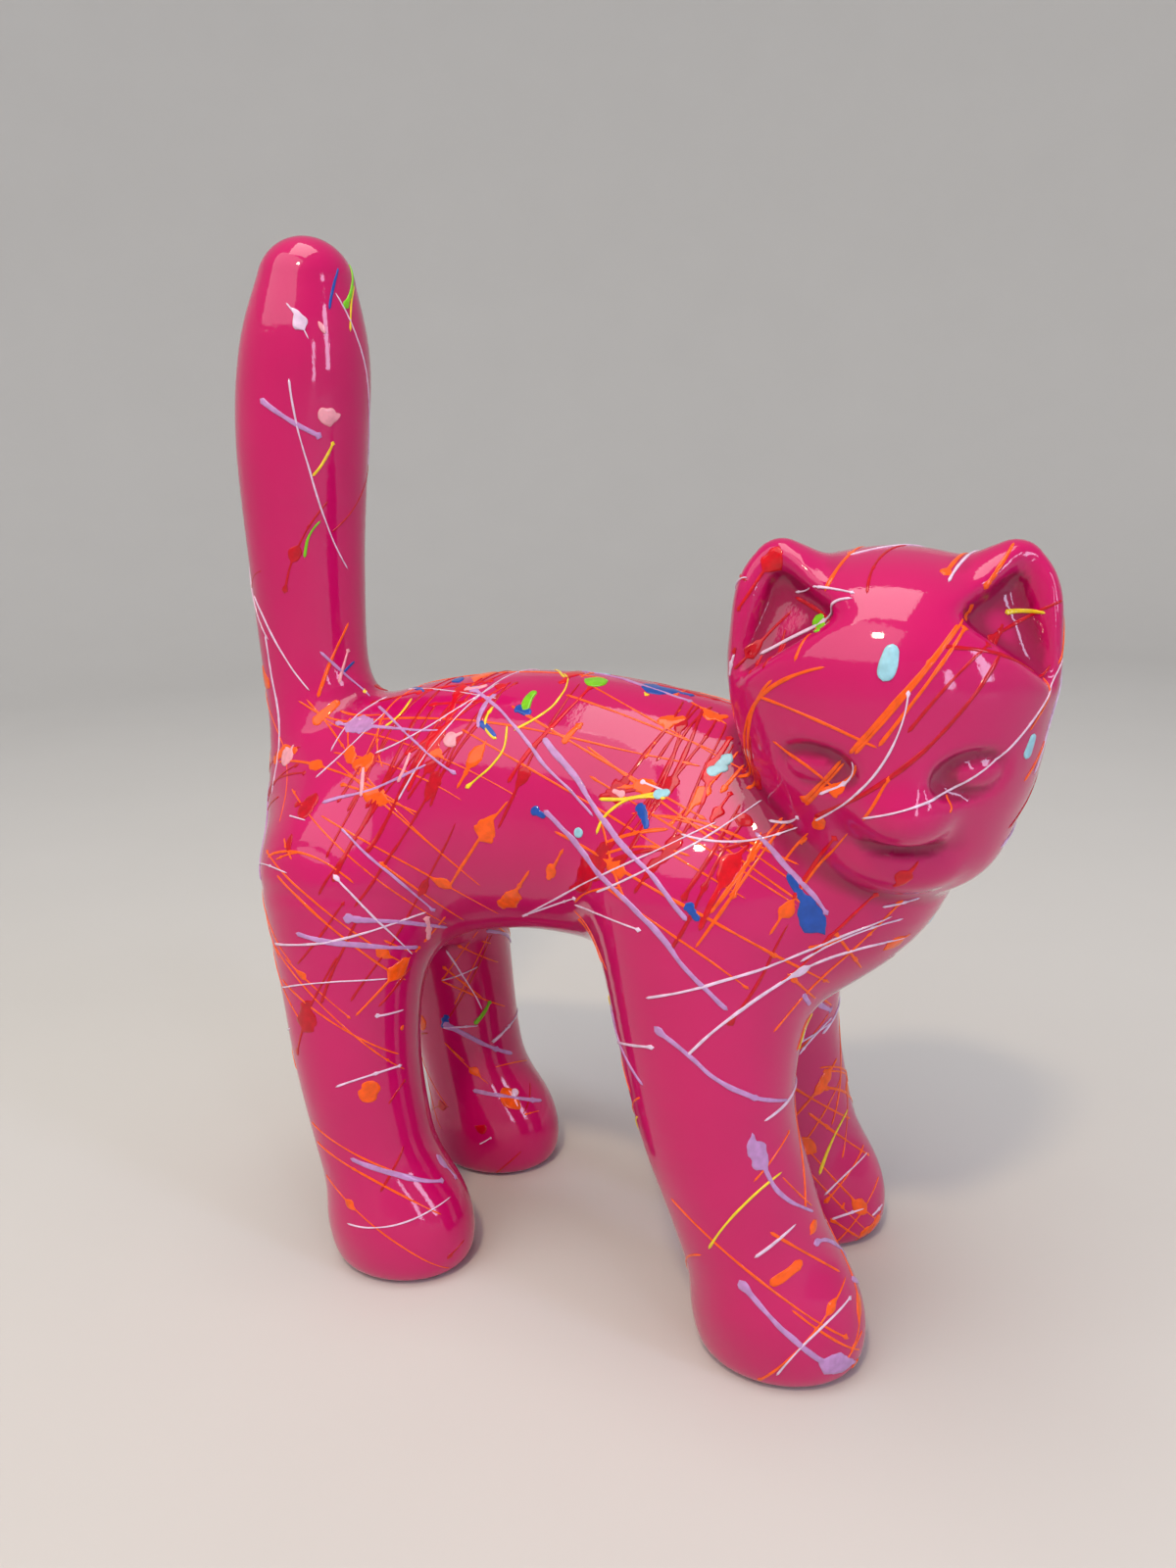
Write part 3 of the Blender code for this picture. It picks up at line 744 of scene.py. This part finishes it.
def half_widths(rng, count, length, width, pool):
    """How far the paint reaches to each side at each station: a thread that thins out, with drops on it."""
    t = np.linspace(0, 1, count)
    stout = 1 + 0.22 * gentle(rng, t * length / (25 * MM))
    half = 0.5 * width * stout * (0.45 + 0.55 * (1 - t) ** 0.6 * (0.6 + 0.4 * t))
    blobs = []
    if pool:
        blobs.append((rng.uniform(0.15, 0.85), rng.uniform(3, 7), rng.choice([-1, 1])))
    if rng.random() < 0.4:
        blobs.append((rng.choice([0.03, 0.97]), rng.uniform(1, 2), 1))
    if rng.random() < 0.35:
        blobs.append((rng.uniform(0.1, 0.9), rng.uniform(0.6, 1.2), -1))
    sides = []
    for _ in range(2):
        side = half.copy()
        for middle, size, lean in blobs:
            big = size * min(width, 0.9 * MM)
            reach = np.where((t - middle) * lean > 0, rng.uniform(0.6, 1.2), rng.uniform(0.3, 0.5))
            spread = reach * big / length
            lobes = 1 + 0.3 * gentle(rng, t * length / (12 * MM))
            swell = np.clip(1 - ((t - middle) / spread) ** 2, 0, 1) ** 0.6
            side += 0.5 * big * rng.uniform(0.5, 1.0) * lobes * swell
        ends = np.minimum(t, 1 - t) * length / np.maximum(side, 1e-6)
        sides.append(side * np.sqrt(np.clip(1 - (1 - np.clip(ends, 0, 1)) ** 2, 0.002, 1)))
    return sides


def thread_rings(tree, path, left, right, tallest, lift):
    """The rings of points around a thread of paint that lies on the skin."""
    along = np.gradient(path, axis=0)
    along /= np.maximum(np.linalg.norm(along, axis=1), 1e-9)[:, None]
    turn = np.linspace(0, math.pi, PAINT_RING)
    rings = []
    for place, heading, a, b in zip(path, along, left, right):
        _, normal, _, _ = tree.find_nearest(Vector(place))
        side = normal.cross(Vector(heading)).normalized()
        height = tallest * (1 - math.exp(-1.1 * (a + b) / tallest / 2)) * min(1, (a + b) / (0.15 * MM))
        for angle in turn:
            reach = (a if angle < math.pi / 2 else b) * math.cos(angle)
            foot, up, _, _ = tree.find_nearest(Vector(place) + side * reach)
            rise = height * math.sin(angle) ** 0.8 + lift if 0.1 < angle < math.pi - 0.1 else -PAINT_SINK
            rings.append(foot + up * rise)
    return rings


def add_thread(points, faces, rings):
    """Joins the rings into one closed thread and adds it to the lists."""
    first, n, count = len(points), PAINT_RING, len(rings) // PAINT_RING
    points.extend(rings)
    faces.append([first + k for k in range(n)])
    faces.append([first + (count - 1) * n + k for k in reversed(range(n))])
    for i in range(count - 1):
        for k in range(n):
            a, b = first + i * n + k, first + i * n + (k + 1) % n
            faces.append([a, a + n, b + n, b])


class FIGURINE_OT_paint(bpy.types.Operator):
    """Flicks one colour of paint over the skin"""

    bl_idname = "figurine.paint"
    bl_label = "Flick the paint"

    paint: StringProperty(name="Paint", description="Which of the paints is thrown", default="orange")

    def execute(self, context):
        settings = context.scene.figurine_paint
        skin = bpy.data.objects["figurine_skin"]
        tree = BVHTree.FromObject(skin, context.evaluated_depsgraph_get())
        layer = list(PAINTS).index(self.paint)
        rng = np.random.default_rng(settings.seed * 100 + layer)
        points, faces = [], []
        for family in [f for f in FAMILIES if f.paint == self.paint]:
            for azimuth, elevation, share in THROWERS:
                a, e = math.radians(azimuth), math.radians(elevation)
                back = Vector((math.sin(a) * math.cos(e), -math.cos(a) * math.cos(e), math.sin(e)))
                across = Vector((math.cos(a), math.sin(a), 0))
                up = back.cross(across)
                for _ in range(int(family.count * share * settings.amount + rng.random())):
                    self.flick(settings, rng, tree, family, (across, up, back), layer, points, faces)
        mesh = bpy.data.meshes.new(f"paint_{self.paint}")
        mesh.from_pydata(points, [], faces)
        threads = new_object(mesh.name, mesh)
        bpy.ops.object.mode_set(mode="EDIT")
        bpy.ops.mesh.select_all(action="SELECT")
        bpy.ops.mesh.normals_make_consistent(inside=False)
        bpy.ops.object.mode_set(mode="OBJECT")
        bpy.ops.object.shade_smooth()
        mesh.materials.append(flicked_enamel(self.paint, PAINTS[self.paint]))
        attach(threads, "root")
        return {"FINISHED"}

    def flick(self, settings, rng, tree, family, view, layer, points, faces):
        across, up, back = view
        aim = Vector((family.aim.x, family.aim.y, family.aim.z)) * MM
        scatter = across * rng.uniform(-1, 1) * family.aim.across * MM
        scatter += up * rng.uniform(-1, 1) * family.aim.up * MM
        aim += scatter
        length = (family.short + (family.long - family.short) * rng.random() ** 1.5) * MM
        t = np.linspace(-0.5, 0.5, max(7, round(length / (0.8 * PAINT_STEP))))
        heading = np.radians(family.heading + family.scatter * rng.uniform(-1, 1)
                             + family.bend * rng.choice([-1, 1]) * rng.uniform(0.4, 1) * t
                             + family.sway * gentle(rng, t * length / (30 * MM)))
        step = length / (len(t) - 1)
        flat = np.cumsum(np.stack([np.cos(heading), np.sin(heading)], 1) * step, axis=0)
        flat -= flat.mean(0)
        width = family.width * MM * rng.uniform(0.7, 1.35)
        for run in landed(tree, flat, aim, across, up, back):
            path, reach = stations_along(run)
            left, right = half_widths(rng, len(path), reach, width, rng.random() < family.pools)
            rings = thread_rings(tree, path, left, right, settings.thickness, layer * PAINT_LAYER)
            add_thread(points, faces, rings)


def studio_matte(colour):
    """Matt seamless studio paper, with the faint mottle of its fibres."""
    material, tree, shader = new_material("seamless_paper")
    place = add_node(tree, "ShaderNodeTexCoord").outputs["Object"]
    fibre = add_node(tree, "ShaderNodeTexNoise", [("Vector", place)], Scale=0.012 / MM, Detail=3)
    shade = add_node(tree, "ShaderNodeMapRange", [("Value", fibre.outputs["Fac"])], To_Min=0.98, To_Max=1.02)
    tint = add_node(tree, "ShaderNodeHueSaturation", [("Value", shade.outputs["Result"])])
    tint.inputs["Color"].default_value = (*colour, 1)
    tree.links.new(tint.outputs["Color"], shader.inputs["Base Color"])
    set_inputs(shader, {"Roughness": 0.85, "Specular IOR Level": 0.2})
    return material


def add_light(name, place, aim, size, power, colour):
    """A soft area light that the camera doesn't see."""
    light = bpy.data.lights.new(name, "AREA")
    light.shape = "RECTANGLE"
    light.size, light.size_y = size
    light.energy = power
    light.color = linear(colour)
    lamp = bpy.data.objects.new(name, light)
    bpy.context.scene.collection.objects.link(lamp)
    lamp.location = place
    lamp.rotation_euler = (Vector(aim) - Vector(place)).to_track_quat("-Z", "Y").to_euler()
    lamp.visible_camera = False


class FIGURINE_OT_studio(bpy.types.Operator):
    """Sets up the floor, its curved backdrop, the lights and the camera"""

    bl_idname = "figurine.studio"
    bl_label = "Set up the studio"

    def execute(self, context):
        settings = context.scene.figurine_studio
        scene = context.scene
        reach, height = COVE_RADIUS + COVE_CURVE, COVE_HEIGHT
        bpy.ops.mesh.primitive_circle_add(vertices=96, radius=reach, location=(0, 0, height))
        bpy.ops.object.transform_apply(location=True)
        floor = context.object
        floor.name = "studio_floor"
        bpy.ops.object.mode_set(mode="EDIT")
        for turn in np.linspace(math.pi / 2, 0, 10):
            wide = COVE_RADIUS + COVE_CURVE * math.sin(turn)
            tall = COVE_CURVE * (1 - math.cos(turn))
            bpy.ops.mesh.extrude_region_move(TRANSFORM_OT_translate={"value": (0, 0, tall - height)})
            bpy.ops.transform.resize(value=(wide / reach, wide / reach, 1))
            reach, height = wide, tall
        bpy.ops.mesh.edge_face_add()
        bpy.ops.object.mode_set(mode="OBJECT")
        bpy.ops.object.shade_smooth()
        floor.data.materials.append(studio_matte(settings.floor))

        world = bpy.data.worlds.new("studio")
        scene.world = world
        world.use_nodes = True
        sky = world.node_tree.nodes["Background"]
        sky.inputs["Color"].default_value = (*linear(WORLD_COLOUR), 1)
        sky.inputs["Strength"].default_value = WORLD_STRENGTH * settings.strength

        for name, place, size, power, colour in LAMPS:
            add_light(name, place, STUDIO_MIDDLE, size, power * settings.strength, colour)

        lens = bpy.data.cameras.new("camera")
        lens.sensor_width = SENSOR
        lens.lens = LENS
        camera = bpy.data.objects.new("camera", lens)
        scene.collection.objects.link(camera)
        look = (Matrix.Rotation(CAMERA_HEADING, 4, "Z") @ Matrix.Rotation(math.pi / 2 - CAMERA_DIP, 4, "X")
                @ Matrix.Rotation(CAMERA_ROLL, 4, "Z"))
        camera.matrix_world = Matrix.Translation(CAMERA_PLACE) @ look
        scene.camera = camera
        scene.view_settings.view_transform = "Standard"
        return {"FINISHED"}


class FIGURINE_PT_tools(bpy.types.Panel):
    """The figurine's tools, in the order that they are used"""

    bl_label = "Figurine"
    bl_idname = "FIGURINE_PT_tools"
    bl_space_type = "VIEW_3D"
    bl_region_type = "UI"
    bl_category = "Figurine"

    def draw(self, context):
        scene, layout = context.scene, self.layout
        for group in (scene.figurine_skin, scene.figurine_paint, scene.figurine_studio):
            for name in group.bl_rna.properties.keys():
                if name not in ("rna_type", "name"):
                    layout.prop(group, name)
        layout.operator(FIGURINE_OT_skin.bl_idname)
        for paint in PAINTS:
            layout.operator(FIGURINE_OT_paint.bl_idname, text=f"Flick {paint}").paint = paint
        layout.operator(FIGURINE_OT_studio.bl_idname)


CLASSES = (
    FigurineSkin, FigurinePaint, FigurineStudio,
    FIGURINE_OT_skin, FIGURINE_OT_paint, FIGURINE_OT_studio, FIGURINE_PT_tools,
)


def register():
    for cls in CLASSES:
        bpy.utils.register_class(cls)
    bpy.types.Scene.figurine_skin = PointerProperty(type=FigurineSkin)
    bpy.types.Scene.figurine_paint = PointerProperty(type=FigurinePaint)
    bpy.types.Scene.figurine_studio = PointerProperty(type=FigurineStudio)


def unregister():
    del bpy.types.Scene.figurine_skin
    del bpy.types.Scene.figurine_paint
    del bpy.types.Scene.figurine_studio
    for cls in reversed(CLASSES):
        bpy.utils.unregister_class(cls)


def main():
    register()
    bpy.ops.figurine.skin()
    for paint in PAINTS:
        bpy.ops.figurine.paint(paint=paint)
    bpy.ops.figurine.studio()


if __name__ == "__main__":
    main()
